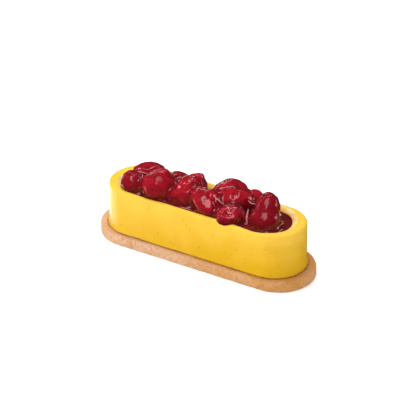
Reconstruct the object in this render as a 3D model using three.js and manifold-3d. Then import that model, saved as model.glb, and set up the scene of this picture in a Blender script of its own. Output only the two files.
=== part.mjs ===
// An oblong dessert tart: a shortbread base, a finger of set vanilla cream with a trough along its
// top, red jelly in the trough, and glazed cherries sunk in the jelly.
// Millimetres, +Z up, +X along the finger. The origin is the middle of the base's underside.

import * as THREE from "three";
import { ParametricGeometry } from "three/addons/geometries/ParametricGeometry.js";
import { mergeVertices } from "three/addons/utils/BufferGeometryUtils.js";
import Module from "manifold-3d";

const wasm = await Module();
wasm.setup();

// Driving dimensions.
const BASE = {
  length: 130.4,
  width: 40.8,
  thickness: 6.5,
  bulge: 0.15, // how far the side swells out at half its height
  lowerEdge: 0.7,
  upperEdge: 1.3,
  unevenness: 0.22,
};
const CREAM = {
  footLength: 121.4,
  footWidth: 37,
  flareHeight: 6, // the foot spreads over this height
  waistLength: 119.6,
  waistWidth: 35.4,
  straightHeight: 14,
  topLength: 119.4,
  topWidth: 34.9,
  height: 26,
  footEdge: 0.5,
  rimEdge: 1.7,
  unevenness: 0.3,
};
const TROUGH = {
  length: 107.4,
  width: 29.2,
  edge: [[1.8, 0], [0.6, 0.2], [-1.2, 0.8], [-3.2, 1.52]], // each level's extra width, and its drop
  depth: 7.5,
  floorLength: 98,
  floorWidth: 21,
};
const JELLY = { belowRim: 2, length: 102.6, width: 24.8 };
const GAP = 0.3; // clearance kept between pieces that lie in each other
const SEAT = 0.05; // clearance under a piece that stands flat on another
const FLATNESS = 0.85; // how much of what lies beyond a flat is pushed back to it
const STEPS = { end: 18, side: 12, edge: 3 };
const FACET = 7.3; // a cherry's facets are finer by one step for each such amount that its radii add up to
const CLOSE = 1e-4; // points nearer than this are one point

// The waves that add up to the unevenness of a baked or poured wall: share, run along X, Y and Z, and shift.
const WAVES = [
  [0.45, 0.11, 0.23, 0, 1.7],
  [0.35, 0.37, -0.29, 0.41, 2.9],
  [0.2, 0.83, 0.97, -0.71, 4.3],
];

const CREAM_FLOOR = BASE.thickness + SEAT;
const RIM_TOP = CREAM_FLOOR + CREAM.height;
const TROUGH_FLOOR = RIM_TOP - TROUGH.depth;
const JELLY_TOP = RIM_TOP - JELLY.belowRim;

const COLOURS = {
  base: { color: 0xd79a5c, roughness: 0.9, metalness: 0 },
  cream: { color: 0xf2bb34, roughness: 0.3, metalness: 0 },
  jelly: { color: 0x5c070d, roughness: 0.12, metalness: 0 },
  cherry: { color: 0x8c1420, roughness: 0.15, metalness: 0 },
};

// The cherries, each of one lobe or of two that have grown together. at: a lobe's centre. radii: its half
// sizes, turned about X, then Y, then Z by the degrees of turn, which is TURN where it isn't given.
// flats: [direction, share] flattens a side at that share of its reach.
// presses: [direction, depth, reach] pushes a place in, or pulls it out where the depth is negative.
const TURN = [0, 0, 30];
const CHERRIES = {
  cherry_left_front: [{ at: [-42.2, -8.6, 34.4], radii: [6.5, 6.0, 7.8], flats: [[[0.2, 0.2, 1], 0.9]] }],
  cherry_left_back: [{ at: [-39.1, 4.4, 34.7], radii: [10.1, 7.8, 6.6], flats: [[[-0.1, -0.1, 1], 0.84]] }],
  cherry_left_middle: [
    {
      at: [-26.5, -7.0, 37.1],
      radii: [8.8, 8.1, 9.2],
      turn: [0, 4, 30],
      presses: [[[-0.45, -0.1, 0.9], 1.2, 5.5], [[0.31, 0.5, 0.8], -1.3, 5]],
    },
    { at: [-24.8, -7.4, 34.0], radii: [7.9, 6.4, 6.6] },
  ],
  cherry_back_dimpled: [
    {
      at: [-20.8, 3.8, 34.8],
      radii: [8.2, 7.2, 6.4],
      flats: [[[0.3, 0.2, 1], 0.9]],
      presses: [[[0.47, -0.42, 0.78], 1.8, 3.4]],
    },
  ],
  cherry_torn: [
    {
      at: [-11.0, -4.2, 36.0],
      radii: [9.0, 8.2, 9.6],
      flats: [[[-0.12, -0.45, 0.88], 0.62], [[0.05, -1.0, 0.1], 0.8], [[-0.75, -0.3, 0.6], 0.64]],
      presses: [[[-0.9, -0.5, 0.1], -0.9, 4]],
    },
    { at: [-10.6, -5.4, 32.6], radii: [9.2, 7.4, 8.0], flats: [[[0.05, -1.0, 0.1], 0.76]] },
  ],
  cherry_back_peaked: [
    {
      at: [-9.9, 5.5, 35.8],
      radii: [6.4, 6.2, 7.0],
      flats: [[[0.85, 0.3, 0.45], 0.8], [[-0.2, 0.1, 1], 0.9]],
      presses: [[[0.45, 0.35, 0.85], -0.9, 4]],
    },
  ],
  cherry_split: [
    {
      at: [4.2, -9.0, 36.6],
      radii: [5.8, 5.6, 9.7],
      turn: [-41, -44, 30],
      flats: [[[0.1, -0.75, 0.7], 0.92]],
    },
    {
      at: [7.6, -6.6, 36.5],
      radii: [5.6, 5.4, 7.4],
      turn: [-30, -24, 30],
      flats: [[[0.5, -0.6, 0.6], 0.86]],
    },
  ],
  cherry_long: [
    {
      at: [17.4, 1.8, 36.4],
      radii: [10.4, 6.6, 7.4],
      turn: [0, 14, 30],
      flats: [[[0.1, -0.62, 0.8], 0.84], [[0, 0.6, 0.9], 0.78]],
    },
  ],
  cherry_ridged: [
    {
      at: [11.4, 6.2, 37.2],
      radii: [10.0, 8.0, 7.6],
      flats: [[[0.5, 0.2, 0.8], 0.84], [[-0.5, -0.1, 0.8], 0.84]],
      presses: [[[0.1, 0.1, 1], -0.9, 4.5]],
    },
  ],
  cherry_rough: [
    {
      at: [21.0, -10.4, 32.3],
      radii: [8.4, 6.6, 6.8],
      flats: [[[-0.1, -0.3, 1], 0.84], [[0.75, -0.5, 0.15], 0.92]],
      presses: [[[-0.3, -0.6, 0.8], 0.7, 2.6]],
    },
  ],
  cherry_back_small: [{ at: [24.0, 10.2, 34.9], radii: [5.0, 5.0, 5.6], flats: [[[0.3, -0.3, 1], 0.9]] }],
  cherry_right_tall: [
    {
      at: [38.3, -1.8, 36.6],
      radii: [7.1, 7.4, 11.5],
      turn: [-24, 9, 30],
      flats: [[[-0.1, -0.2, 1], 0.95]],
    },
    { at: [38.6, -4.2, 32.8], radii: [8.5, 8.0, 8.8], flats: [[[-0.3, -0.9, 0.5], 0.95]] },
  ],
};

/** Eases from 0 to 1. */
const smooth = (t) => t * t * (3 - 2 * t);

/** A smooth, repeatable unevenness between -1 and 1. */
function ripple(x, y, z, seed) {
  return WAVES.reduce((sum, [share, kx, ky, kz, shift]) => {
    return sum + share * Math.sin(kx * x + ky * y + kz * z + shift * seed);
  }, 0);
}

/** A closed solid for joining and cutting, from a geometry whose faces that collapsed are dropped. */
function solidFrom(geometry) {
  const bare = geometry.index ? geometry.toNonIndexed() : geometry.clone();
  bare.deleteAttribute("normal");
  bare.deleteAttribute("uv");
  const merged = mergeVertices(bare, CLOSE);
  const corners = merged.index.array;
  const kept = [];
  for (let i = 0; i < corners.length; i += 3) {
    const [a, b, c] = [corners[i], corners[i + 1], corners[i + 2]];
    if (a !== b && b !== c && c !== a) kept.push(a, b, c);
  }
  const vertProperties = new Float32Array(merged.attributes.position.array);
  return new wasm.Manifold(new wasm.Mesh({ numProp: 3, vertProperties, triVerts: new Uint32Array(kept) }));
}

/** The geometry of a solid. */
function geometryOf(solid) {
  const { vertProperties, triVerts, numProp } = solid.getMesh();
  const points = [];
  for (let i = 0; i < vertProperties.length; i += numProp) points.push(...vertProperties.subarray(i, i + 3));
  const geometry = new THREE.BufferGeometry();
  geometry.setAttribute("position", new THREE.Float32BufferAttribute(points, 3));
  geometry.setIndex([...triVerts]);
  geometry.computeVertexNormals();
  return geometry;
}

/** The largest of a solid's separate bodies, so that a scrap left by a cut is dropped. */
function largestBody(solid) {
  return solid.decompose().reduce((best, body) => (body.volume() > best.volume() ? body : best));
}

/** A named mesh of a solid, in one of the tart's colours. */
function meshOf(name, solid, look) {
  const mesh = new THREE.Mesh(geometryOf(largestBody(solid)), new THREE.MeshStandardMaterial(COLOURS[look]));
  mesh.name = name;
  return mesh;
}

/** The places round a round-ended oblong: how far along its spine each is, and the way out from there. */
function oblongStations() {
  const stations = [];
  for (const end of [1, -1]) {
    for (let i = 0; i <= STEPS.end; i++) {
      const angle = Math.PI * (i / STEPS.end - 0.5);
      stations.push({ along: end, outX: end * Math.cos(angle), outY: end * Math.sin(angle) });
    }
    for (let i = 1; i < STEPS.side; i++) {
      stations.push({ along: end * (1 - (2 * i) / STEPS.side), outX: 0, outY: end });
    }
  }
  return stations;
}

/** One level of an oblong body: its outline's length and width at a height. */
const level = (length, width, z) => ({ spine: (length - width) / 2, reach: width / 2, z });

/** The middle of a level, which closes a body there. */
const middle = ({ spine, z }) => ({ spine, reach: 0, z });

/**
 * Levels round the edge between a flat at zFlat and a wall on the given outline. rise is 1 where the wall
 * goes up from the flat and -1 where it goes down.
 */
function edgeLevels(length, width, zFlat, rise, radius) {
  return Array.from({ length: STEPS.edge + 1 }, (_, i) => {
    const angle = (Math.PI / 2) * (i / STEPS.edge);
    const inset = 2 * radius * (1 - Math.sin(angle));
    return level(length - inset, width - inset, zFlat + rise * radius * (1 - Math.cos(angle)));
  });
}

/** A closed body through levels, its surface moved out by relief(x, y, z). */
function oblongBody(levels, relief = () => 0) {
  const stations = oblongStations();
  const surface = (u, v, point) => {
    const { along, outX, outY } = stations[Math.round(u * stations.length) % stations.length];
    const { spine, reach, z } = levels[Math.round(v * (levels.length - 1))];
    const moved = reach > 0 ? reach + relief(along * spine + outX * reach, outY * reach, z) : 0;
    point.set(along * spine + outX * moved, outY * moved, z);
  };
  return solidFrom(new ParametricGeometry(surface, stations.length, levels.length - 1));
}

/** The shortbread: a plate with worn edges and a hand-cut, slightly uneven outline. */
function makeBase() {
  const { length, width, thickness, bulge, lowerEdge, upperEdge, unevenness } = BASE;
  const lower = edgeLevels(length, width, 0, 1, lowerEdge);
  const waist = level(length + 2 * bulge, width + 2 * bulge, thickness / 2);
  const upper = edgeLevels(length, width, thickness, -1, upperEdge).reverse();
  const levels = [middle(lower[0]), ...lower, waist, ...upper, middle(upper.at(-1))];
  return oblongBody(levels, (x, y, z) => unevenness * ripple(x, y, z, 1));
}

/** The cream finger with its trough. grown moves every wall out into the space round it. */
function makeCream(grown = 0) {
  const { footLength, footWidth, flareHeight, waistLength, waistWidth, straightHeight } = CREAM;
  const { topLength, topWidth, footEdge, rimEdge, unevenness } = CREAM;
  const out = 2 * grown;
  const wall = (length, width, height) => level(length + out, width + out, CREAM_FLOOR + height);
  const foot = edgeLevels(footLength + out, footWidth + out, CREAM_FLOOR, 1, footEdge);
  const flare = wall((footLength + waistLength) / 2, (footWidth + waistWidth) / 2, flareHeight / 3);
  const waist = [wall(waistLength, waistWidth, flareHeight), wall(waistLength, waistWidth, straightHeight)];
  const rim = edgeLevels(topLength + out, topWidth + out, RIM_TOP + grown, -1, rimEdge).reverse();
  const lip = TROUGH.edge.map(([wider, drop]) => {
    return level(TROUGH.length + wider - out, TROUGH.width + wider - out, RIM_TOP - drop + grown);
  });
  const shore = level(JELLY.length - out, JELLY.width - out, JELLY_TOP);
  const floor = level(TROUGH.floorLength - out, TROUGH.floorWidth - out, TROUGH_FLOOR + grown);
  const levels = [middle(foot[0]), ...foot, flare, ...waist, ...rim, ...lip, shore, floor, middle(floor)];
  const onWall = (z) => z > CREAM_FLOOR && z < RIM_TOP - rimEdge;
  return oblongBody(levels, (x, y, z) => (onWall(z) ? unevenness * ripple(x, y, z, 2) : 0));
}

/** Unit vector of three numbers. */
const towards = (numbers) => new THREE.Vector3(...numbers).normalize();

/** A cherry's lobe: a turned ellipsoid, flattened and pressed. grown makes it larger all round. */
function makeLobe({ at, radii, turn = TURN, flats = [], presses = [] }, grown) {
  const geometry = new THREE.IcosahedronGeometry(1, Math.ceil((radii[0] + radii[1] + radii[2]) / FACET));
  const points = geometry.getAttribute("position");
  const angles = turn.map(THREE.MathUtils.degToRad);
  const rotation = new THREE.Quaternion().setFromEuler(new THREE.Euler(...angles, "ZYX"));
  const unturned = rotation.clone().invert();
  const size = new THREE.Vector3(...radii).addScalar(grown);
  const centre = new THREE.Vector3(...at);
  const point = new THREE.Vector3();
  for (let i = 0; i < points.count; i++) {
    point.fromBufferAttribute(points, i).multiply(size).applyQuaternion(rotation);
    for (const [direction, share] of flats) {
      const way = towards(direction);
      const reach = way.clone().applyQuaternion(unturned).multiply(size).length();
      const beyond = point.dot(way) - share * reach;
      if (beyond > 0) point.addScaledVector(way, -FLATNESS * beyond);
    }
    for (const [direction, depth, reach] of presses) {
      const way = towards(direction);
      const place = way.clone().divideScalar(way.clone().applyQuaternion(unturned).divide(size).length());
      const nearness = 1 - point.distanceTo(place) / reach;
      if (nearness > 0) point.addScaledVector(way, -depth * smooth(nearness));
    }
    point.add(centre);
    points.setXYZ(i, point.x, point.y, point.z);
  }
  return solidFrom(geometry);
}

/** A cherry: its lobes joined. */
function makeCherry(lobes, grown = 0) {
  return lobes.map((lobe) => makeLobe(lobe, grown)).reduce((whole, lobe) => whole.add(lobe));
}

/** Every cherry's solid by its name, cut clear of the cream and of the cherries listed before it. */
function makeCherries() {
  const blockers = [makeCream(GAP)];
  return Object.entries(CHERRIES).map(([name, lobes]) => {
    const solid = blockers.reduce((rest, blocker) => rest.subtract(blocker), makeCherry(lobes));
    blockers.push(makeCherry(lobes, GAP));
    return [name, solid];
  });
}

/** The jelly that fills the trough, with a seat for each cherry. */
function makeJelly() {
  const floor = level(TROUGH.floorLength - 2 * GAP, TROUGH.floorWidth - 2 * GAP, TROUGH_FLOOR + SEAT);
  const top = level(JELLY.length - 2 * GAP, JELLY.width - 2 * GAP, JELLY_TOP);
  const filling = oblongBody([middle(floor), floor, top, middle(top)]);
  return Object.values(CHERRIES).reduce((solid, lobes) => solid.subtract(makeCherry(lobes, GAP)), filling);
}

const tart = new THREE.Group();
tart.add(meshOf("shortbread_base", makeBase(), "base"));
tart.add(meshOf("cream_finger", makeCream(), "cream"));
tart.add(meshOf("cherry_jelly", makeJelly(), "jelly"));
makeCherries().forEach(([name, solid]) => tart.add(meshOf(name, solid, "cherry")));

export default tart;
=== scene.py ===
"""An oblong cherry cream tart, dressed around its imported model.

Shortbread below, a finger of set vanilla cream with a trough along its top, red jelly in the
trough and twelve glazed cherries. Pieces are modelled in millimetres on the bench and leave it
in metres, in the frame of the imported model: +X along the finger, +Z up, the underside at zero.
"""

from __future__ import annotations

import logging
import math
import random
from dataclasses import dataclass, field
from enum import Enum
from typing import Any, Callable, Iterable, Sequence

import bmesh
import bpy
from mathutils import Euler, Matrix, Vector

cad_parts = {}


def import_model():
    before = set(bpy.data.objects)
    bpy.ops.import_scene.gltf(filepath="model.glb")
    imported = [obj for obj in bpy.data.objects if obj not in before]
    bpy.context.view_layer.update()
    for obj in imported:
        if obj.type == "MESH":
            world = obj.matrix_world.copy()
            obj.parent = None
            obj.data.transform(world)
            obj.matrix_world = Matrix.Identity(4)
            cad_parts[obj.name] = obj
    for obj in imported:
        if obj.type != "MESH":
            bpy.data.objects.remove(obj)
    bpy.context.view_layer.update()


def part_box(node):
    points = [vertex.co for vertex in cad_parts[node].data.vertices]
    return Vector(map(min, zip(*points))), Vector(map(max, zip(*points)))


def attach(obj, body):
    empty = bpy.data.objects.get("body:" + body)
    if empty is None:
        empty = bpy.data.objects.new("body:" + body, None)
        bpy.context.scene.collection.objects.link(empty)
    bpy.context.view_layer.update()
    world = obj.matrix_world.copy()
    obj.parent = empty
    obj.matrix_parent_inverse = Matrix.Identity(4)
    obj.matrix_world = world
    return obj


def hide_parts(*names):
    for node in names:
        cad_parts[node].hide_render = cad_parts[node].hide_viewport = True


LOG = logging.getLogger("cherry_tart")

MM = 0.001
BODY = "root"
NEAR = 1e-3  # lengths that differ by less, in millimetres, are the same

Triple = tuple[float, float, float]
PlaceTest = Callable[[Vector, Vector], bool]


class Slot(Enum):
    """The record's material slots."""
    # """The material slots."""

    SHORTBREAD = "shortbread"
    CREAM = "vanilla_cream"
    JELLY = "red_jelly"
    CHERRY = "glazed_cherry"


class Part(Enum):
    """What the modelling tools act on."""

    VERTICES = "VERT"
    EDGES = "EDGE"
    FACES = "FACE"


def way(direction: Sequence[float]) -> Vector:
    """The unit vector along a direction."""
    return Vector(direction).normalized()


def node_box(node: str) -> tuple[Vector, Vector]:
    """A node's lowest and highest corners, in millimetres."""
    low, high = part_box(node)
    return low / MM, high / MM


class Bench:
    """The modelling bench: one mesh under the edit tools, in millimetres."""

    def __init__(self, name: str) -> None:
        """Takes up the primitive that was just added.

        Args:
            name: The piece's name.
        """
        self.piece = bpy.context.object
        self.piece.name = self.piece.data.name = name
        bpy.ops.object.mode_set(mode="EDIT")

    @staticmethod
    def clear() -> None:
        """Deselects every object, so that the tools act on the next primitive alone."""
        if bpy.context.object and bpy.context.object.mode == "EDIT":
            bpy.ops.object.mode_set(mode="OBJECT")
        bpy.ops.object.select_all(action="DESELECT")

    @property
    def mesh(self) -> bmesh.types.BMesh:
        """The mesh under the tools."""
        return bmesh.from_edit_mesh(self.piece.data)

    def pick(self, part: Part, test: PlaceTest, within: bool = False) -> int:
        """Selects what passes a test of its place.

        Args:
            part: Vertices, edges or faces.
            test: Says whether to select, given the middle and the normal, or an edge's run.
            within: Whether only what is selected already can stay selected.

        Returns:
            How many were selected.
        """
        mesh = self.mesh
        if part is Part.VERTICES:
            found = [(v, v.co, v.normal) for v in mesh.verts]
        elif part is Part.EDGES:
            found = [
                (e, (e.verts[0].co + e.verts[1].co) / 2, e.verts[1].co - e.verts[0].co)
                for e in mesh.edges
            ]
        else:
            found = [(f, f.calc_center_median(), f.normal) for f in mesh.faces]
        chosen = [item for item, middle, run in found if (item.select or not within) and test(middle, run)]
        return self._select(part, chosen)

    def pick_nearest(self, place: Vector) -> None:
        """Selects the vertex nearest to a place."""
        self._select(Part.VERTICES, [min(self.mesh.verts, key=lambda v: (v.co - place).length_squared)])

    def picked_faces(self) -> list[int]:
        """The numbers of the selected faces."""
        mesh = self.mesh
        mesh.faces.index_update()
        return [f.index for f in mesh.faces if f.select]

    def pick_faces_again(self, numbers: Iterable[int]) -> None:
        """Selects faces by their numbers."""
        mesh = self.mesh
        mesh.faces.ensure_lookup_table()
        self._select(Part.FACES, [mesh.faces[number] for number in numbers])

    def _select(self, part: Part, chosen: list[Any]) -> int:
        """Selects these elements and nothing else, and counts them."""
        bpy.ops.mesh.select_mode(type=part.value)
        bpy.ops.mesh.select_all(action="DESELECT")
        mesh = self.mesh
        for item in chosen:
            item.select_set(True)
        mesh.select_flush_mode()
        bmesh.update_edit_mesh(self.piece.data)
        return len(chosen)

    def everything(self) -> None:
        """Selects the whole mesh."""
        bpy.ops.mesh.select_all(action="SELECT")

    def move(self, by: Sequence[float], reach: float = 0.0) -> None:
        """Moves what is selected.

        Args:
            by: The way it goes.
            reach: How far round it the mesh follows, fading smoothly. Nothing follows at zero.
        """
        if reach:
            bpy.ops.transform.translate(
                value=tuple(by),
                use_proportional_edit=True,
                proportional_edit_falloff="SMOOTH",
                proportional_size=reach,
            )
        else:
            bpy.ops.transform.translate(value=tuple(by))

    def resize(
        self, by: Sequence[float], about: Sequence[float] = (0, 0, 0), axes: Matrix | None = None
    ) -> None:
        """Scales what is selected.

        Args:
            by: The three factors.
            about: The point that stays.
            axes: The axes that the factors run along, where they aren't X, Y and Z.
        """
        turned = {} if axes is None else {
            "orient_type": "GLOBAL", "orient_matrix": axes, "orient_matrix_type": "GLOBAL"
        }
        bpy.ops.transform.resize(value=tuple(by), center_override=tuple(about), **turned)

    def turn(self, degrees: float, axis: str) -> None:
        """Turns what is selected about an axis through the origin, anticlockwise seen from its tip."""
        if degrees:
            bpy.ops.transform.rotate(
                value=-math.radians(degrees), orient_axis=axis, center_override=(0, 0, 0)
            )

    def done(self) -> bpy.types.Object:
        """Closes the mesh, still in millimetres, and gives the piece."""
        bpy.ops.object.mode_set(mode="OBJECT")
        return self.piece


def finish(piece: bpy.types.Object, kind: str, **settings: Any) -> None:
    """Adds a modifier and applies it.

    Args:
        piece: The piece it works on.
        kind: The modifier's type.
        settings: Its settings by name.
    """
    modifier = piece.modifiers.new(kind.title(), kind)
    for name, value in settings.items():
        setattr(modifier, name, value)
    bpy.context.view_layer.objects.active = piece
    bpy.ops.object.modifier_apply(modifier=modifier.name)


def roughen(piece: bpy.types.Object, grain: float, depth: float, detail: int = 2) -> None:
    """Gives a piece an uneven surface from a clouds texture.

    Args:
        piece: The piece, in millimetres.
        grain: The size of its bumps.
        depth: How high they stand from the lowest to the highest.
        detail: How many finer sets of bumps lie on them.
    """
    clouds = bpy.data.textures.new(f"{piece.name}_relief", "CLOUDS")
    clouds.noise_scale = grain
    clouds.noise_depth = detail
    clouds.noise_basis = "BLENDER_ORIGINAL"
    finish(piece, "DISPLACE", texture=clouds, texture_coords="LOCAL", strength=depth, mid_level=0.5)
    bpy.data.textures.remove(clouds)


def remesh(piece: bpy.types.Object, voxel: float) -> None:
    """Melts a piece's parts into one mesh of even faces."""
    finish(piece, "REMESH", mode="VOXEL", voxel_size=voxel, use_smooth_shade=True)


def soften(piece: bpy.types.Object, times: int) -> None:
    """Smooths a piece's edges away a number of times."""
    finish(piece, "SMOOTH", factor=0.5, iterations=times)


def copy_of(piece: bpy.types.Object, name: str) -> bpy.types.Object:
    """A copy of a piece with its own mesh, in the scene."""
    twin = piece.copy()
    twin.data = piece.data.copy()
    twin.name = twin.data.name = name
    bpy.context.scene.collection.objects.link(twin)
    return twin


def take(pieces: Sequence[bpy.types.Object]) -> bpy.types.Object:
    """Selects pieces and nothing else, and gives the first of them, now the active one."""
    Bench.clear()
    for piece in pieces:
        piece.select_set(True)
    bpy.context.view_layer.objects.active = pieces[0]
    return pieces[0]


def join(pieces: Sequence[bpy.types.Object], name: str) -> bpy.types.Object:
    """Joins pieces into the first of them, which takes the name."""
    whole = take(pieces)
    bpy.ops.object.join()
    whole.name = whole.data.name = name
    return whole


def deliver(piece: bpy.types.Object, material: bpy.types.Material, slot: Slot, *nodes: str) -> None:
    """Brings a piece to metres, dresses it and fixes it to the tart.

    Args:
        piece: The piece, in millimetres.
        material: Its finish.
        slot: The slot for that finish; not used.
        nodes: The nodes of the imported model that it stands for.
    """
    take([piece])
    bpy.ops.object.mode_set(mode="EDIT")
    bpy.ops.mesh.select_all(action="SELECT")
    bpy.ops.transform.resize(value=(MM, MM, MM), center_override=(0, 0, 0))
    bpy.ops.object.mode_set(mode="OBJECT")
    bpy.ops.object.shade_smooth()
    piece.data.materials.clear()
    piece.data.materials.append(material)
    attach(piece, BODY)
    if nodes:
        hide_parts(*nodes)
    LOG.info("%s: %d faces, %s", piece.name, len(piece.data.polygons), material.name)


class Value:
    """A number that varies over a surface: arithmetic on it adds Math nodes."""

    def __init__(self, shader: Shader, socket: bpy.types.NodeSocket) -> None:
        """Wraps a socket of a shader."""
        self.shader = shader
        self.socket = socket

    def _math(self, operation: str, *values: Any) -> Value:
        """The result of a Math node on one or two values."""
        sockets = {str(number): value for number, value in enumerate(values)}
        return Value(self.shader, self.shader.node(
            "ShaderNodeMath", {"operation": operation}, sockets
        ).outputs[0])

    def __add__(self, other: Any) -> Value:
        """Their sum."""
        return self._math("ADD", self, other)

    __radd__ = __add__

    def __sub__(self, other: Any) -> Value:
        """Their difference."""
        return self._math("SUBTRACT", self, other)

    def __rsub__(self, other: Any) -> Value:
        """Their difference, the other way round."""
        return self._math("SUBTRACT", other, self)

    def __mul__(self, other: Any) -> Value:
        """Their product."""
        return self._math("MULTIPLY", self, other)

    def __truediv__(self, other: Any) -> Value:
        """Their quotient."""
        return self._math("DIVIDE", self, other)

    def __abs__(self) -> Value:
        """Its size without its sign."""
        return self._math("ABSOLUTE", self)

    def root(self) -> Value:
        """Its square root."""
        return self._math("SQRT", self)

    def at_least(self, other: Any) -> Value:
        """The larger of the two."""
        return self._math("MAXIMUM", self, other)

    def between(self, start: float, end: float) -> Value:
        """How far it is from start to end, smoothly from 0 to 1."""
        return Value(self.shader, self.shader.node(
            "ShaderNodeMapRange",
            {"interpolation_type": "SMOOTHSTEP"},
            {"Value": self, "From Min": start, "From Max": end},
        ).outputs["Result"])


class Shader:
    """A material under construction, with its patterns in millimetres."""

    def __init__(self, name: str) -> None:
        """Starts a material.

        Args:
            name: The material's name.
        """
        self.material = bpy.data.materials.new(name)
        self.material.use_nodes = True
        self.tree = self.material.node_tree
        self.surface = self.tree.nodes["Principled BSDF"]
        place = self.node("ShaderNodeTexCoord").outputs["Object"]
        self.place = self.node(
            "ShaderNodeVectorMath", {"operation": "SCALE"}, {"Vector": place, "Scale": 1 / MM}
        ).outputs[0]
        parts = self.node("ShaderNodeSeparateXYZ", None, {"Vector": self.place}).outputs
        self.x, self.y, self.z = (Value(self, part) for part in parts)

    def node(
        self, kind: str, settings: dict[str, Any] | None = None, sockets: dict[str, Any] | None = None
    ) -> bpy.types.Node:
        """Adds a node.

        Args:
            kind: The node's type.
            settings: Its settings, set before its sockets.
            sockets: A value, a socket or a Value for each socket, by its name or number.

        Returns:
            The node.
        """
        node = self.tree.nodes.new(kind)
        for name, value in (settings or {}).items():
            setattr(node, name, value)
        for name, value in (sockets or {}).items():
            self.feed(node.inputs[int(name) if name.isdigit() else name], value)
        return node

    def feed(self, socket: bpy.types.NodeSocket, value: Any) -> None:
        """Links a socket to a Value or a socket, or sets it to a number or a colour."""
        source = value.socket if isinstance(value, Value) else value
        if isinstance(source, bpy.types.NodeSocket):
            self.tree.links.new(source, socket)
        else:
            socket.default_value = source

    def set(self, **sockets: Any) -> None:
        """Sets or links the surface's sockets, by name with underscores for spaces."""
        for name, value in sockets.items():
            if isinstance(value, tuple) and name.endswith("Color"):
                value = (*value, 1.0)
            self.feed(self.surface.inputs[name.replace("_", " ")], value)

    def noise(self, size: float, detail: float = 2.0, stretch: Triple = (1, 1, 1)) -> Value:
        """A soft noise from 0 to 1.

        Args:
            size: The size of its patches in millimetres.
            detail: How many finer layers it has.
            stretch: How much denser it is along each axis.

        Returns:
            The noise.
        """
        mapped = self.node("ShaderNodeMapping", None, {"Vector": self.place, "Scale": stretch}).outputs[0]
        return Value(self, self.node(
            "ShaderNodeTexNoise", None, {"Vector": mapped, "Scale": 1 / size, "Detail": detail}
        ).outputs["Fac"])

    def cells(self, size: float) -> tuple[Value, Value]:
        """Cells scattered in space.

        Args:
            size: Their size in millimetres.

        Returns:
            The distance to a cell's middle in millimetres, and a number of the cell's own from 0 to 1.
        """
        cells = self.node("ShaderNodeTexVoronoi", None, {"Vector": self.place, "Scale": 1 / size})
        own = self.node("ShaderNodeSeparateColor", None, {"Color": cells.outputs["Color"]})
        return Value(self, cells.outputs["Distance"]) * size, Value(self, own.outputs[0])

    def mix(self, share: Any, first: Any, second: Any) -> bpy.types.NodeSocket:
        """A colour between two colours.

        Args:
            share: How much of the second shows.
            first: The first colour.
            second: The second colour.

        Returns:
            The mixed colour.
        """
        mixed = self.node("ShaderNodeMix", {"data_type": "RGBA"})
        self.feed(mixed.inputs["Factor"], share)
        for socket, colour in ((mixed.inputs[6], first), (mixed.inputs[7], second)):
            self.feed(socket, (*colour, 1.0) if isinstance(colour, tuple) else colour)
        return mixed.outputs[2]

    def oblong(self, straight: float) -> Value:
        """How far a point lies from the line in the middle of an oblong outline.

        Args:
            straight: Half the length of the outline's straight sides.

        Returns:
            The distance in millimetres, seen from above.
        """
        ends = (abs(self.x) - straight).at_least(0.0)
        return (ends * ends + self.y * self.y).root()

    def bump(self, height: Value, depth: float) -> None:
        """Raises the surface by a height from 0 to 1, in millimetres at its fullest."""
        bump = self.node("ShaderNodeBump", None, {"Height": height, "Distance": depth * MM})
        self.feed(self.surface.inputs["Normal"], bump.outputs[0])


@dataclass(frozen=True)
class ShortbreadFinish:
    """Baked shortbread: pale peach and golden, browner next to the cream, with a fine dry crumb."""

    name: str = "shortbread"
    pale: Triple = (0.715, 0.455, 0.285)
    golden: Triple = (0.60, 0.27, 0.05)
    toasted: Triple = (0.40, 0.15, 0.035)
    grain: float = 0.8
    patch: float = 9.0
    ledge: float = 1.3

    def make(self, thickness: float, load: Level | None = None) -> bpy.types.Material:
        """Builds the material.

        Args:
            thickness: The base's thickness, whose edges are browner.
            load: The foot of what stands on it, round which it is browner too.

        Returns:
            The material.
        """
        shader = Shader(self.name)
        patches = shader.noise(self.patch, 3).between(0.35, 0.7) * 0.4
        # Painted shade: the base is mixed towards golden along its length, darkest at the right end, away
        # from the light.
        shade_to_right_end = shader.x.between(-35, 60) * 0.6
        colour = shader.mix(patches + shade_to_right_end, self.pale, self.golden)
        grain = shader.noise(self.grain, 3)
        colour = shader.mix(grain.between(0.45, 0.7) * 0.6, colour, self.toasted)
        low = 1 - shader.z.between(0.1, 0.9)
        high = shader.z.between(thickness - 0.9, thickness) * 0.4
        colour = shader.mix((low + high) * 0.4, colour, self.toasted)
        if load:
            near = 1 - shader.oblong(load.straight / 2).between(load.width / 2, load.width / 2 + self.ledge)
            top = shader.z.between(thickness * 0.6, thickness * 0.8)
            colour = shader.mix(near * top * 0.3, colour, self.toasted)
        shader.set(Base_Color=colour, Roughness=0.78, Specular_IOR_Level=0.35)
        shader.bump(grain * 0.6 + shader.noise(1.4, 2) * 0.4, 0.34)
        return shader.material


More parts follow.
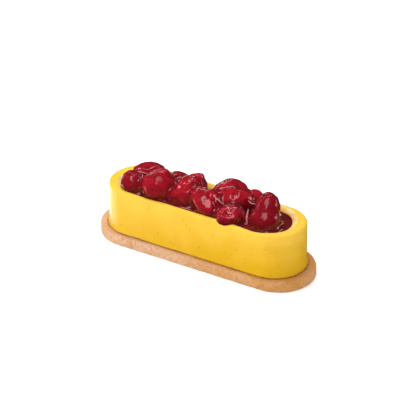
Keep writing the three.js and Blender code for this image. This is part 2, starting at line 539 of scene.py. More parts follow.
@dataclass(frozen=True)
class CreamFinish:
    """Set vanilla cream under a thin clear glaze: glossy yellow with faint vanilla specks."""

    fresh: Triple = (0.895, 0.56, 0.062)
    # Deep cream colour, also used as painted shade towards the foot and the right end.
    deep: Triple = (0.72, 0.408, 0.004)
    speck: Triple = (0.42, 0.22, 0.012)
    # Orange-red: painted shade and painted red reflection on the trough's wall near the jelly.
    stained: Triple = (0.78, 0.20, 0.025)
    # Pale cream colour: painted highlight on the trough's slope at its ends, and pale smears with painted
    # highlight along its lip.
    smeared: Triple = (0.96, 0.74, 0.42)
    speck_spacing: float = 2.9
    speck_radius: float = 0.62

    def make(self, finger: CreamFinger) -> bpy.types.Material:
        """Builds the material.

        Args:
            finger: The finger that it covers.

        Returns:
            The material.
        """
        foot, rim = finger.heights()
        edge = finger.trough.width / 2
        shader = Shader("vanilla_cream")
        out = shader.oblong(finger.trough.straight / 2)
        # Painted shade: the wall is mixed from fresh to deep towards its foot and, below the rim, towards
        # the right end, as if lit from above and from the left.
        low = 1 - shader.z.between(foot, rim)
        soft = shader.noise(14, 2).between(0.3, 0.7)
        painted_shade_right = shader.x.between(-20, 60) * low.between(0.0, 0.3) * 0.35
        colour = shader.mix(low * 0.6 + soft * 0.3 + painted_shade_right, self.fresh, self.deep)
        colour = shader.mix(self._specks(shader), colour, self.speck)
        # Painted shade and painted red reflection on the trough's wall near the jelly.
        red_reflection = self._stain(shader, out, edge, rim - finger.jelly_below_rim)
        colour = shader.mix(red_reflection, colour, self.stained)
        # Painted highlight at the trough's ends, and pale smears with painted highlight along its lip.
        colour = shader.mix(self._smears(shader, out, edge, rim), colour, self.smeared)
        shader.set(
            Base_Color=colour,
            Roughness=0.38,
            Specular_IOR_Level=0.1,
            Subsurface_Weight=0.2,
            Subsurface_Radius=(1.0, 0.6, 0.15),
            Subsurface_Scale=1.2 * MM,
            Coat_Weight=0.3,
            Coat_Roughness=0.2,
        )
        shader.bump(shader.noise(5, 2), 0.12)
        return shader.material

    def _specks(self, shader: Shader) -> Value:
        """Where the vanilla specks show, each ragged and of a size of its own."""
        distance, own = shader.cells(self.speck_spacing)
        ragged = distance * (0.7 + shader.noise(0.5, 1) * 0.8)
        return (1 - (ragged / (0.3 + own)).between(self.speck_radius * 0.3, self.speck_radius)) * 0.6

    @staticmethod
    def _stain(shader: Shader, out: Value, edge: float, jelly: float) -> Value:
        """Where the trough's wall near the jelly is painted orange-red: painted shade tinted by painted red
        reflection from the cherries, weaker at the right end.
        """
        inward = 1 - out.between(edge, edge + 0.7)
        wet = 1 - (shader.z + shader.noise(3, 2) * 1.2).between(jelly + 0.6, jelly + 1.8)
        weaker_at_right_end = 1 - shader.x.between(38, 50) * 0.75
        return inward * wet * weaker_at_right_end * 0.8

    @staticmethod
    def _smears(shader: Shader, out: Value, edge: float, rim: float) -> Value:
        """Painted highlight in pale cream on the trough's slope at its ends, and pale smears with painted
        highlight along its lip.
        """
        streaks = shader.noise(2.6, 2, stretch=(0.25, 1, 1)).between(0.46, 0.62)
        slope = 1 - out.between(edge - 0.2, edge + 0.9)
        ends = shader.x.between(36, 46) + (0 - shader.x).between(43, 49) * 0.7
        at_end = ends * slope * shader.z.between(rim - 2.4, rim - 1.2)
        lip = out.between(edge - 0.9, edge - 0.2) * slope * shader.z.between(rim - 1.4, rim - 0.7)
        return at_end * (streaks * 0.4 + 0.4) + lip * streaks * 0.6


@dataclass(frozen=True)
class CherryFinish:
    """A sweet cherry under clear red glaze."""

    name: str
    tone: float = 0.0
    coat: float = 1.0
    coat_roughness: float = 0.05
    bright: Triple = (0.40, 0.007, 0.020)
    dark: Triple = (0.19, 0.003, 0.008)
    # Painted shade: each fruit is mixed towards the glazed colour below these heights, darker towards its
    # bottom.
    glazed: Triple = (0.065, 0.002, 0.004)
    glaze_heights: tuple[float, float] = (31.3, 38.3)
    glaze_depth: float = 0.9
    coat_heights: tuple[float, float] = (31.5, 38.0)
    low_coat: float = 0.3

    def make(self) -> bpy.types.Material:
        """Builds the material."""
        shader = Shader(self.name)
        patches = shader.noise(4.5, 3).between(0.35, 0.75)
        colour = shader.mix(patches, self.bright, self.dark)
        veins = shader.noise(1.1, 4, stretch=(1, 1, 0.4)).between(0.45, 0.8)
        # Painted shade: darker towards the fruit's bottom, down to the jelly.
        low_shade = (1 - shader.z.between(*self.glaze_heights)) * self.glaze_depth
        coat = shader.z.between(*self.coat_heights) * (1 - self.low_coat) + self.low_coat
        colour = shader.mix(veins * 0.35 + self.tone, colour, self.dark)
        colour = shader.mix(low_shade, colour, self.glazed)
        shader.set(
            Base_Color=colour,
            Roughness=0.2,
            Specular_IOR_Level=0.12,
            Subsurface_Weight=0.2,
            Subsurface_Radius=(1.0, 0.12, 0.12),
            Subsurface_Scale=1.5 * MM,
            Coat_Weight=coat * self.coat,
            Coat_Roughness=self.coat_roughness,
        )
        shader.bump(shader.noise(3.0, 1), 0.06)
        return shader.material


@dataclass(frozen=True)
class JellyFinish:
    """Dark red jelly with a wet gloss."""

    name: str = "red_jelly"
    body: Triple = (0.085, 0.004, 0.005)
    thin: Triple = (0.17, 0.007, 0.009)
    clinging: Triple = (0.18, 0.004, 0.010)
    climb: tuple[float, float] = (31.5, 36.0)

    def make(self) -> bpy.types.Material:
        """Builds the material."""
        shader = Shader(self.name)
        colour = shader.mix(shader.noise(3.5, 2).between(0.3, 0.7), self.body, self.thin)
        colour = shader.mix(shader.z.between(*self.climb), colour, self.clinging)
        shader.set(
            Base_Color=colour,
            Roughness=0.2,
            Specular_IOR_Level=0.1,
            Coat_Weight=1.0,
            Coat_Roughness=0.05,
        )
        shader.bump(shader.noise(3.2, 1), 0.05)
        return shader.material


@dataclass(frozen=True)
class Level:
    """One level of an oblong body, whose outline has round ends, in millimetres."""

    length: float
    width: float
    z: float

    @property
    def straight(self) -> float:
        """The length of its straight sides."""
        return self.length - self.width


class OblongBench(Bench):
    """The bench for a body that rises level by level on an oblong outline."""

    ROUND_STEPS = 64
    SIDE_CUTS = 23

    def __init__(self, name: str, foot: Level, first: Level) -> None:
        """Makes the body's lowest layer: a disc whose halves are drawn apart.

        Args:
            name: The piece's name.
            foot: The level it starts from.
            first: The level it reaches, of the same outline or another.
        """
        self.clear()
        bpy.ops.mesh.primitive_cylinder_add(
            vertices=self.ROUND_STEPS,
            radius=foot.width / 2,
            depth=first.z - foot.z,
            location=(0, 0, (foot.z + first.z) / 2),
        )
        bpy.ops.object.transform_apply(location=True)
        super().__init__(name)
        self.everything()
        bpy.ops.mesh.bisect(plane_co=(0, 0, 0), plane_no=(1, 0, 0), threshold=1e-4)
        self.pick(Part.FACES, lambda middle, normal: middle.x > 0)
        bpy.ops.mesh.extrude_region_move(TRANSFORM_OT_translate={"value": (foot.straight, 0, 0)})
        self.everything()
        self.move((-foot.straight / 2, 0, 0))
        self.pick(Part.EDGES, lambda middle, run: abs(abs(run.x) - foot.straight) < NEAR)
        bpy.ops.mesh.subdivide(number_cuts=self.SIDE_CUTS)
        self.pick(Part.FACES, lambda middle, normal: normal.z > 0.9)
        self.level = Level(foot.length, foot.width, first.z)
        self.reshape(first)

    def reshape(self, level: Level) -> None:
        """Gives the selected top the outline of a level at its height."""
        old, cap = self.level, self.picked_faces()
        scale = level.width / old.width
        self.resize((scale, scale, 1))
        straight = old.straight * scale
        edge = straight / 2 - NEAR
        for side in (1, -1):
            self.pick(Part.VERTICES, lambda place, normal: place.x * side > edge, within=True)
            self.move((side * (level.straight - straight) / 2, 0, 0))
            self.pick_faces_again(cap)
        self.pick(Part.VERTICES, lambda place, normal: abs(place.x) < edge, within=True)
        self.resize((level.straight / straight, 1, 1))
        self.pick_faces_again(cap)
        self.level = level

    def rise(self, levels: Iterable[Level]) -> None:
        """Raises or sinks the selected top through levels, one after another."""
        for level in levels:
            bpy.ops.mesh.extrude_region_move(
                TRANSFORM_OT_translate={"value": (0, 0, level.z - self.level.z)}
            )
            self.reshape(level)


def rounded(outer: Level, flat_z: float, radius: float, steps: int = 4) -> list[Level]:
    """The levels of a rounded upper edge.

    Args:
        outer: The level at the edge's widest outline.
        flat_z: The height where the edge is flat.
        radius: Its radius.
        steps: How many levels it has.

    Returns:
        The levels, from the outline up to the flat.
    """
    made = []
    for step in range(1, steps + 1):
        turn = math.radians(90 * step / steps)
        inset = 2 * radius * (1 - math.cos(turn))
        z = flat_z - radius * (1 - math.sin(turn))
        made.append(Level(outer.length - inset, outer.width - inset, z))
    return made


@dataclass(frozen=True)
class Pull:
    """A place of an upper surface that is raised, or sunk where the rise is negative."""

    at: tuple[float, float]
    rise: float
    reach: float

    def act(self, bench: Bench, z: float) -> None:
        """Pulls at the bench's piece near a height."""
        bench.pick_nearest(Vector((*self.at, z)))
        bench.move((0, 0, self.rise), self.reach)


@dataclass
class ShortbreadBase:
    """The baked base under the finger."""

    length: float = 130.4
    width: float = 40.8
    lower_edge: float = 0.7
    upper_edge: float = 1.3
    bulge: float = 0.15
    voxel: float = 0.5
    finish: ShortbreadFinish = field(default_factory=ShortbreadFinish)

    def build(self, cream: CreamFinger) -> None:
        """Models the base, roughens it and puts it in its place.

        Args:
            cream: The finger that stands on it.
        """
        low, high = node_box("shortbread_base")
        thickness = high.z - low.z
        middle = thickness / 2
        bench = OblongBench(
            "shortbread_baked_base",
            Level(self.length, self.width, 0),
            Level(self.length + 2 * self.bulge, self.width + 2 * self.bulge, middle),
        )
        bench.rise([Level(self.length, self.width, thickness)])
        for height, radius in ((thickness, self.upper_edge), (0, self.lower_edge)):
            bench.pick(Part.EDGES, lambda place, run: self._at_edge(place - Vector((0, 0, height)), run))
            bpy.ops.mesh.bevel(offset=radius, segments=5, affect="EDGES")
        piece = bench.done()
        remesh(piece, self.voxel)
        roughen(piece, grain=7, depth=0.35)
        roughen(piece, grain=1.3, depth=0.22, detail=3)
        material = self.finish.make(thickness, Level(*cream.foot, thickness))
        deliver(piece, material, Slot.SHORTBREAD, "shortbread_base")

    def _at_edge(self, place: Vector, run: Vector) -> bool:
        """Whether an edge runs along the outline, at the height that its place is measured from."""
        ends = max(abs(place.x) - (self.length - self.width) / 2, 0)
        outside = math.hypot(ends, place.y) > self.width / 2 - 0.3
        return outside and abs(run.z) < NEAR and abs(place.z) < NEAR


@dataclass
class CreamFinger:
    """The finger of set cream, with the trough along its top."""

    foot: tuple[float, float] = (121.4, 37.0)
    waist: tuple[float, float] = (119.6, 35.4)
    top: tuple[float, float] = (119.4, 34.9)
    height: float = 26.0
    flare_height: float = 6.0
    straight_height: float = 14.0
    foot_edge: float = 0.5
    rim_edge: float = 1.7
    trough: Level = Level(107.4, 29.2, 0.0)
    trough_floor: tuple[float, float] = (98.0, 21.0)
    trough_depth: float = 7.5
    jelly: tuple[float, float] = (102.6, 24.8)
    jelly_below_rim: float = 2.0
    dips: tuple[Pull, ...] = (Pull((36.0, -16.0), -0.9, 12.0), Pull((-30.0, -16.0), -0.4, 9.0))
    slope: tuple[Level, ...] = (
        Level(109.2, 31.0, 0.0), Level(108.6, 30.4, -0.06), Level(108.0, 29.8, -0.2),
        Level(107.1, 28.9, -0.5), Level(106.2, 28.0, -0.8), Level(104.2, 26.0, -1.5),
        Level(102.6, 24.8, -2.1), Level(101.2, 23.6, -2.9), Level(100.0, 22.6, -4.4),
    )
    finish: CreamFinish = field(default_factory=CreamFinish)

    FLARE_STEPS = (0.2, 0.45, 0.7, 1.0)

    def heights(self) -> tuple[float, float]:
        """The heights of the finger's foot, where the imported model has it, and of its rim."""
        foot_z = node_box("cream_finger")[0].z
        return foot_z, foot_z + self.height

    def build(self) -> None:
        """Models the finger from its foot over the rim and down into the trough."""
        foot_z, rim_z = self.heights()
        edge = self.foot_edge
        bench = OblongBench(
            "vanilla_cream_finger",
            Level(self.foot[0] - 2 * edge, self.foot[1] - 2 * edge, foot_z),
            Level(*self.foot, foot_z + edge),
        )
        flare = [
            Level(*(a + (b - a) * self._ease(share) for a, b in zip(self.foot, self.waist)),
                  foot_z + edge + (self.flare_height - edge) * share)
            for share in self.FLARE_STEPS
        ]
        shoulder = Level(*self.top, rim_z - self.rim_edge)
        bench.rise([
            *flare,
            Level(*self.waist, foot_z + self.straight_height),
            shoulder,
            *rounded(shoulder, rim_z, self.rim_edge),
            *(Level(level.length, level.width, rim_z + level.z) for level in self.slope),
            Level(*self.trough_floor, rim_z - self.trough_depth),
        ])
        for dip in self.dips:
            dip.act(bench, rim_z)
        piece = bench.done()
        finish(piece, "SUBSURF", levels=2, render_levels=2)
        roughen(piece, grain=11, depth=0.4, detail=1)
        deliver(piece, self.finish.make(self), Slot.CREAM, "cream_finger")

    @staticmethod
    def _ease(share: float) -> float:
        """How much of the foot's flare is gone at a share of its height."""
        return 1 - (1 - share) ** 2


@dataclass(frozen=True)
class Flat:
    """A side that was pressed flat, at a share of its reach."""

    facing: Triple
    share: float
    kept: float = 0.15


@dataclass(frozen=True)
class Press:
    """A place that is pushed in, or pulled out where the depth is negative."""

    facing: Triple
    depth: float
    reach: float


@dataclass(frozen=True)
class Lobe:
    """One rounded part of a cherry, in millimetres."""

    at: Triple
    radii: Triple
    turn: Triple = (0, 0, 30)
    flats: tuple[Flat, ...] = ()
    presses: tuple[Press, ...] = ()

    FINENESS = 6

    def model(self, name: str) -> bpy.types.Object:
        """Shapes a lobe of this name from a ball, and gives it in its place."""
        Bench.clear()
        bpy.ops.mesh.primitive_ico_sphere_add(subdivisions=self.FINENESS, radius=1)
        bench = Bench(name)
        bench.everything()
        bench.resize(self.radii)
        for degrees, axis in zip(self.turn, "XYZ"):
            bench.turn(degrees, axis)
        for flat in self.flats:
            self._flatten(bench, flat)
        for press in self.presses:
            bench.pick_nearest(self._surface(press.facing))
            bench.move(-press.depth * way(press.facing), press.reach)
        bench.everything()
        bench.move(self.at)
        return bench.done()

    def _turned(self) -> Matrix:
        """The lobe's turn about X, then Y, then Z."""
        return Euler([math.radians(degrees) for degrees in self.turn], "XYZ").to_matrix()

    def _surface(self, facing: Triple) -> Vector:
        """The place on the unpressed lobe in a direction from its middle."""
        local = self._turned().inverted() @ way(facing)
        return way(facing) / Vector(a / b for a, b in zip(local, self.radii)).length

    def _flatten(self, bench: Bench, flat: Flat) -> None:
        """Pushes back what lies beyond a flat."""
        facing = way(flat.facing)
        local = self._turned().inverted() @ facing
        reach = Vector(a * b for a, b in zip(local, self.radii)).length * flat.share
        if bench.pick(Part.VERTICES, lambda place, normal: place.dot(facing) > reach):
            bench.resize((1, 1, flat.kept), facing * reach, facing.to_track_quat("Z", "Y").to_matrix())


@dataclass(frozen=True)
class Cherry:
    """One glazed cherry: its lobes, melted into each other."""

    name: str
    lobes: tuple[Lobe, ...]
    tone: float = 0.0
    coat: float = 1.0
    coat_roughness: float = 0.05
    wrinkles: float = 0.26
    voxel: float = 0.32
    softness: int = 8
    dents: float = 0.45

    DENT_GRAIN = 4.2
    WRINKLE_GRAIN = 1.9

    def finish(self) -> CherryFinish:
        """The fruit's own finish."""
        return CherryFinish(f"{self.name}_skin", self.tone, self.coat, self.coat_roughness)

    def model(self) -> bpy.types.Object:
        """Models the fruit, in millimetres."""
        name = f"{self.name}_fruit"
        piece = join([lobe.model(name) for lobe in self.lobes], name)
        if len(self.lobes) > 1:
            remesh(piece, self.voxel)
        soften(piece, self.softness)
        roughen(piece, self.DENT_GRAIN, self.dents, detail=0)
        roughen(piece, self.WRINKLE_GRAIN, self.wrinkles, detail=0)
        return piece


CHERRIES = (
    Cherry("cherry_left_front", (
        Lobe((-42.2, -8.6, 34.4), (6.5, 6.0, 7.8), flats=(Flat((0.2, 0.2, 1), 0.9),)),
    ), tone=0.45),
    Cherry("cherry_left_back", (
        Lobe((-39.1, 4.4, 34.7), (10.1, 7.8, 6.6), flats=(Flat((-0.1, -0.1, 1), 0.84),)),
    ), tone=0.45, coat=0.65),
    Cherry("cherry_left_middle", (
        Lobe((-26.5, -7.0, 37.1), (8.8, 8.1, 9.2), (0, 4, 30),
             presses=(Press((-0.45, -0.1, 0.9), 1.2, 5.5), Press((0.31, 0.5, 0.8), -1.3, 5))),
        Lobe((-24.8, -7.4, 34.0), (7.9, 6.4, 6.6)),
    ), tone=0.25, softness=24, coat=0.35, coat_roughness=0.12),
    Cherry("cherry_back_dimpled", (
        Lobe((-20.8, 3.8, 34.8), (8.2, 7.2, 6.4),
             flats=(Flat((0.3, 0.2, 1), 0.9),), presses=(Press((0.47, -0.42, 0.78), 1.8, 3.4),)),
    ), tone=0.5, coat=0.8),
    Cherry("cherry_torn", (
        Lobe((-11.0, -4.2, 36.0), (9.0, 8.2, 9.6),
             flats=(Flat((-0.12, -0.45, 0.88), 0.62), Flat((0.05, -1.0, 0.1), 0.80),
                    Flat((-0.75, -0.3, 0.6), 0.64)),
             presses=(Press((-0.9, -0.5, 0.1), -0.9, 4),)),
        Lobe((-10.6, -5.4, 32.6), (9.2, 7.4, 8.0), flats=(Flat((0.05, -1.0, 0.1), 0.76),)),
    ), softness=6),
    Cherry("cherry_back_peaked", (
        Lobe((-9.9, 5.5, 35.8), (6.4, 6.2, 7.0),
             flats=(Flat((0.85, 0.3, 0.45), 0.8), Flat((-0.2, 0.1, 1), 0.9)),
             presses=(Press((0.45, 0.35, 0.85), -0.9, 4),)),
    )),
    Cherry("cherry_split", (
        Lobe((4.2, -9.0, 36.6), (5.8, 5.6, 9.7), (-41, -44, 30), flats=(Flat((0.33, -0.63, 0.7), 0.93),)),
        Lobe((7.6, -6.6, 36.5), (5.6, 5.4, 7.4), (-30, -24, 30), flats=(Flat((0.5, -0.6, 0.6), 0.86),)),
    ), softness=5),
    Cherry("cherry_long", (
        Lobe((17.4, 1.8, 36.4), (10.4, 6.6, 7.4), (0, 14, 30),
             flats=(Flat((0.1, -0.62, 0.8), 0.84), Flat((0, 0.6, 0.9), 0.78))),
    ), tone=-0.2, softness=6),
    Cherry("cherry_ridged", (
        Lobe((11.4, 6.2, 37.2), (10.0, 8.0, 7.6),
             flats=(Flat((0.5, 0.2, 0.8), 0.84), Flat((-0.5, -0.1, 0.8), 0.84)),
             presses=(Press((0.1, 0.1, 1), -0.9, 4.5),)),
    ), tone=0.15),
    Cherry("cherry_rough", (
        Lobe((21.0, -10.4, 32.3), (8.4, 6.6, 6.8),
             flats=(Flat((-0.1, -0.3, 1), 0.84), Flat((0.75, -0.5, 0.15), 0.92)),
             presses=(Press((-0.3, -0.6, 0.8), 0.7, 2.6),)),
    ), wrinkles=0.5, dents=0.9),
    Cherry("cherry_back_small", (
        Lobe((24.0, 10.2, 34.9), (5, 5, 5.6), flats=(Flat((0.3, -0.3, 1), 0.9),)),
    )),
    Cherry("cherry_right_tall", (
        Lobe((38.3, -1.8, 36.6), (7.1, 7.4, 11.5), (-24, 9, 30), flats=(Flat((-0.1, -0.2, 1), 0.95),)),
        Lobe((38.6, -4.2, 32.8), (8.5, 8.0, 8.8), flats=(Flat((-0.3, -0.9, 0.5), 0.95),)),
    ), tone=0.7, softness=40, coat=0.55),
)


@dataclass
class CherryTopping:
    """The cherries, and the jelly that they are sunk in, which clings where they touch.

    The meniscus gives the jelly's edge: how much narrower it is there, and the share of the cling.
    """

    bottom: float = 27.0
    into_wall: float = 1.3
    cling: float = 0.1
    meniscus: tuple[tuple[float, float], ...] = ((0, 1), (1.0, 0.4), (2.4, 0.1), (5, 0))
    fillet: float = 1.7
    skin: float = 0.1
    climbs: tuple[Pull, ...] = tuple(Pull((x, -12.4), 0.7, 7.0) for x in range(-40, 21, 10))
    voxel: float = 0.36
    finish: JellyFinish = field(default_factory=JellyFinish)

    def build(self, cream: CreamFinger) -> None:
        """Models the cherries and the jelly.

        Args:
            cream: The finger whose trough holds them.
        """
        fruits = [cherry.model() for cherry in CHERRIES]
        jelly = self._jelly(cream, fruits)
        for cherry, fruit in zip(CHERRIES, fruits):
            deliver(fruit, cherry.finish().make(), Slot.CHERRY, cherry.name)
        deliver(jelly, self.finish.make(), Slot.JELLY, "cherry_jelly")

    def _jelly(self, cream: CreamFinger, fruits: Sequence[bpy.types.Object]) -> bpy.types.Object:
        """The pool in the trough, drawn up round the fruits and over where they touch."""
        _, rim = cream.heights()
        top = rim - cream.jelly_below_rim
        wall = cream.jelly
        outline = [size + 2 * self.into_wall for size in wall]
        bench = OblongBench(
            "red_jelly_pool", Level(*(size - 3 for size in outline), self.bottom), Level(*outline, top - 1)
        )
        bench.rise([Level(*outline, top + self.cling)])
        for narrower, share in self.meniscus:
            bench.rise([Level(*(size - narrower for size in wall), top + self.cling * share)])
        for climb in self.climbs:
            climb.act(bench, top)
        pool = bench.done()
        copies = [copy_of(fruit, f"{fruit.name}_core") for fruit in fruits]
        jelly = join([pool, *copies], pool.name)
        for swell, softness in ((self.fillet, 6), (-self.fillet - self.skin, 70)):
            finish(jelly, "DISPLACE", strength=swell, mid_level=0.0)
            remesh(jelly, self.voxel)
            soften(jelly, softness)
        return jelly


@dataclass(frozen=True)
class Strand:
    """A thin web of glaze drawn out between two fruits, in millimetres."""

    start: Triple
    end: Triple
    bend: Triple = (0, 0, 0)
    thickness: float = 0.9

    def model(self, name: str) -> bpy.types.Object:
        """Draws a strand of this name out of a ball, and gives it in its place."""
        start, end = Vector(self.start), Vector(self.end)
        run, middle = end - start, (start + end) / 2
        Bench.clear()
        bpy.ops.mesh.primitive_uv_sphere_add(segments=20, ring_count=30, radius=1)
        bench = Bench(name)
        bench.everything()
        bench.resize((self.thickness / 2, self.thickness / 2, run.length / 2))
        tilt = math.degrees(run.angle(Vector((0, 0, 1))))
        bench.turn(tilt, "Y")
        bench.turn(math.degrees(math.atan2(run.y, run.x)), "Z")
        bench.move(middle)
        bench.pick_nearest(middle)
        bench.move(self.bend, run.length * 0.5)
        return bench.done()


@dataclass
class GlazeStrands:
    """The webs of glaze that the cherries hold between them, pale pink as a painted highlight; two of them
    lie along the pool's front edge and two ring a cherry's dimple, as painted highlight only.
    """

    strands: tuple[Strand, ...] = (
        Strand((-32.7, -12.0, 31.0), (-36.9, -6.5, 41.0), (0.4, -0.9, 0.4), 1.0),
        Strand((-44.6, -3.8, 38.7), (-35.6, -2.8, 39.6), (0, -0.3, 0.5), 0.8),
        Strand((-19.3, 0.6, 40.3), (-16.0, 0.4, 39.6), (0.3, 0.8, 0.9), 0.5),
        Strand((-19.3, 0.6, 40.3), (-16.0, 0.4, 39.6), (-0.2, -0.9, -0.5), 0.5),
        Strand((-16.9, -7.9, 38.8), (-16.7, -10.5, 33.6), (0.2, -0.3, 0.2), 0.8),
        Strand((-4.4, -7.9, 39.9), (2.9, -6.2, 43.8), (-0.4, 0.2, 0.7), 0.9),
        Strand((9.1, -7.9, 41.0), (14.4, -7.3, 37.6), (0.3, -0.4, 0.5), 0.9),
        Strand((23.4, 2.2, 39.0), (31.4, -1.2, 39.4), (0, -0.5, -0.8), 0.8),
        Strand((31.0, -10.2, 30.5), (29.2, -5.9, 38.6), (-0.3, -0.4, 0), 1.3),
        Strand((-26.3, -12.4, 31.1), (-17.0, -12.6, 31.2), (0, 0, 0.2), 0.6),
        Strand((-9.5, -12.8, 31.6), (-1.4, -13.0, 31.8), (0, 0, 0.2), 0.6),
    )
    # Pale pink colours: painted highlight on the webs.
    finish: JellyFinish = field(
        default_factory=lambda: JellyFinish(
            "web_painted_highlight", (0.60, 0.21, 0.21), (0.45, 0.09, 0.10), (0.55, 0.16, 0.17)
        )
    )

    def build(self) -> None:
        """Models the strands as one piece."""
        made = [strand.model(f"strand_{number}") for number, strand in enumerate(self.strands)]
        webs = join(made, "glaze_webs_painted_highlight")
        roughen(webs, grain=1.6, depth=0.3, detail=0)
        deliver(webs, self.finish.make(), Slot.JELLY)


@dataclass
class Crumbs:
    """Toasted crumbs that lie along the joint of the cream and the shortbread."""

    count: int = 110
    least: float = 0.12
    most: float = 0.42
    seed: int = 11
    finish: ShortbreadFinish = field(
        default_factory=lambda: ShortbreadFinish(
            "toasted_crumbs", (0.55, 0.28, 0.08), (0.42, 0.19, 0.04), (0.28, 0.11, 0.03)
        )
    )

    def build(self, cream: CreamFinger) -> None:
        """Scatters the crumbs round the finger's foot.

        Args:
            cream: The finger they lie against.
        """
        chance = random.Random(self.seed)
        foot_z, _ = cream.heights()
        length, width = cream.foot
        made = []
        for number in range(self.count):
            place = self._along(chance.random(), (length - width) / 2, width / 2 + chance.uniform(0, 0.35))
            size = chance.uniform(self.least, self.most)
            Bench.clear()
            bpy.ops.mesh.primitive_ico_sphere_add(subdivisions=2, radius=size)
            bench = Bench(f"crumb_{number}")
            bench.everything()
            bench.resize([chance.uniform(0.6, 1.3), chance.uniform(0.5, 1.0), chance.uniform(0.5, 0.9)])
            bench.turn(chance.uniform(0, 180), "Z")
            bench.pick_nearest(Vector((size, size, size)))
            bench.move((size * 0.4, size * 0.2, size * 0.3), size)
            bench.everything()
            bench.move((place.x, place.y, foot_z + size * 0.3))
            made.append(bench.done())
        deliver(join(made, "joint_crumbs"), self.finish.make(foot_z), Slot.SHORTBREAD)

    @staticmethod
    def _along(share: float, straight: float, radius: float) -> Vector:
        """The point at a share of the way round an oblong outline."""
        total = 4 * straight + 2 * math.pi * radius
        run = share * total
        for side in (1, -1):
            if run < 2 * straight:
                return Vector((side * (straight - run), side * radius, 0))
            run -= 2 * straight
            if run < math.pi * radius:
                turn = math.pi / 2 + run / radius + (0 if side > 0 else math.pi)
                return Vector((-side * straight + radius * math.cos(turn), radius * math.sin(turn), 0))
            run -= math.pi * radius
        return Vector((straight, radius, 0))


@dataclass(frozen=True)
class Panel:
    """A flat light panel that faces the tart, with whether it lights it and is mirrored in it."""

    name: str
    place: Triple
    size: tuple[float, float]
    power: float
    colour: Triple = (1.0, 1.0, 1.0)
    lights: bool = True
    mirrored: bool = True

    AIMED_AT = Vector((0, 0, 25 * MM))

    def build(self, front: Vector, right: Vector) -> None:
        """Hangs the panel.

        Args:
            front: The level direction towards the camera.
            right: The direction to the right in the picture.
        """
        light = bpy.data.lights.new(self.name, "AREA")
        light.shape = "RECTANGLE"
        light.size, light.size_y = self.size
        light.energy = self.power
        light.color = self.colour
        panel = bpy.data.objects.new(self.name, light)
        place = self.place[0] * right + self.place[1] * front + Vector((0, 0, self.place[2]))
        panel.location = place
        panel.visible_diffuse = self.lights
        panel.visible_glossy = self.mirrored
        panel.rotation_euler = (place - self.AIMED_AT).to_track_quat("Z", "Y").to_euler()
        bpy.context.scene.collection.objects.link(panel)


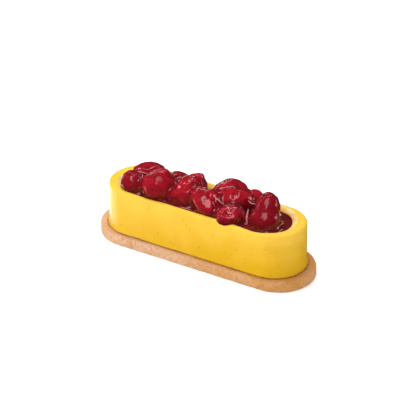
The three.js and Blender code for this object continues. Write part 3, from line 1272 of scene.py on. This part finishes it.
@dataclass
class Studio:
    """The pale floor, the soft lights and the camera."""

    towards_camera: Triple = (0.433, -0.730, 0.528)
    image_right: Triple = (0.860, 0.510, 0.0)
    camera_distance: float = 1.2
    aim: Triple = (-4.46, 11.0, 18.88)
    focal: float = 187.2
    floor_size: float = 6.0
    world_light: float = 0.38
    world_gloss: float = 0.03
    floor_glow: float = 0.25
    panels: tuple[Panel, ...] = (
        Panel("key_panel", (-0.61, 0.19, 0.64), (0.6, 0.6), 3.4, mirrored=False),
        Panel("front_panel", (-0.07, 0.50, 0.78), (0.42, 0.62), 2.8, mirrored=False),
        Panel(
            "front_gloss_panel", (-0.066, 0.47, 0.735), (0.4, 0.58), 3.1, (1.0, 0.72, 0.76), lights=False
        ),
        Panel("rear_panel", (-0.09, -0.56, 0.70), (1.0, 0.06), 1.5),
        Panel("top_panel", (-0.08, -0.34, 0.74), (0.5, 0.5), 2.5, mirrored=False),
        Panel("edge_panel", (0.87, -0.09, 0.27), (0.14, 0.4), 0.8),
        Panel("back_panel", (-0.81, -0.36, 0.27), (0.14, 0.4), 0.5),
        Panel("crest_panel", (-0.19, -0.88, 0.07), (0.5, 0.05), 0.25),
        Panel("sheen_panel", (-0.58, -0.50, -0.47), (1.1, 0.4), 4.6),
    )

    def build(self) -> None:
        """Sets up the floor, the lights and the camera."""
        bpy.context.scene.view_settings.view_transform = "Standard"
        self._floor()
        self._world()
        for panel in self.panels:
            panel.build(way((self.towards_camera[0], self.towards_camera[1], 0)), way(self.image_right))
        self._camera()
        LOG.info("studio: floor, %d panels and the camera", len(self.panels))

    def _floor(self) -> None:
        """A matt white floor."""
        Bench.clear()
        bpy.ops.mesh.primitive_plane_add(size=self.floor_size)
        bench = Bench("studio_floor")
        bench.everything()
        bpy.ops.mesh.subdivide(number_cuts=7)
        floor = bench.done()
        shader = Shader("studio_floor_white")
        grain = shader.noise(60, 1).between(0, 1)
        shader.set(
            Base_Color=shader.mix(grain, (0.93, 0.93, 0.93), (0.95, 0.95, 0.95)),
            Roughness=0.9,
            Specular_IOR_Level=0.0,
            Emission_Color=(1.0, 1.0, 1.0),
            Emission_Strength=self.floor_glow,
        )
        floor.data.materials.append(shader.material)
        floor.visible_glossy = False

    def _world(self) -> None:
        """White light from all round, dimmer where a gloss mirrors it."""
        world = bpy.data.worlds.new("soft_studio")
        world.use_nodes = True
        bpy.context.scene.world = world
        tree = world.node_tree
        path = tree.nodes.new("ShaderNodeLightPath")
        strength = tree.nodes.new("ShaderNodeMapRange")
        strength.inputs["To Min"].default_value = self.world_light
        strength.inputs["To Max"].default_value = self.world_gloss
        tree.links.new(path.outputs["Is Glossy Ray"], strength.inputs["Value"])
        background = tree.nodes["Background"]
        background.inputs["Color"].default_value = (1, 1, 1, 1)
        tree.links.new(strength.outputs["Result"], background.inputs["Strength"])

    def _camera(self) -> None:
        """The camera, at the photograph's height and side."""
        lens = bpy.data.cameras.new("camera")
        lens.lens = self.focal
        lens.sensor_width = 36.0
        lens.clip_start = 0.05
        camera = bpy.data.objects.new("camera", lens)
        camera.location = self.camera_distance * way(self.towards_camera)
        view = Vector(camera.location) - Vector(self.aim) * MM
        camera.rotation_euler = view.to_track_quat("Z", "Y").to_euler()
        bpy.context.scene.collection.objects.link(camera)
        bpy.context.scene.camera = camera


def main() -> None:
    """Builds the tart and the studio around it."""
    logging.basicConfig(level=logging.INFO, format="%(name)s: %(message)s")
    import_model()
    cream = CreamFinger()
    ShortbreadBase().build(cream)
    cream.build()
    CherryTopping().build(cream)
    GlazeStrands().build()
    Crumbs().build(cream)
    Studio().build()


if __name__ == "__main__":
    main()
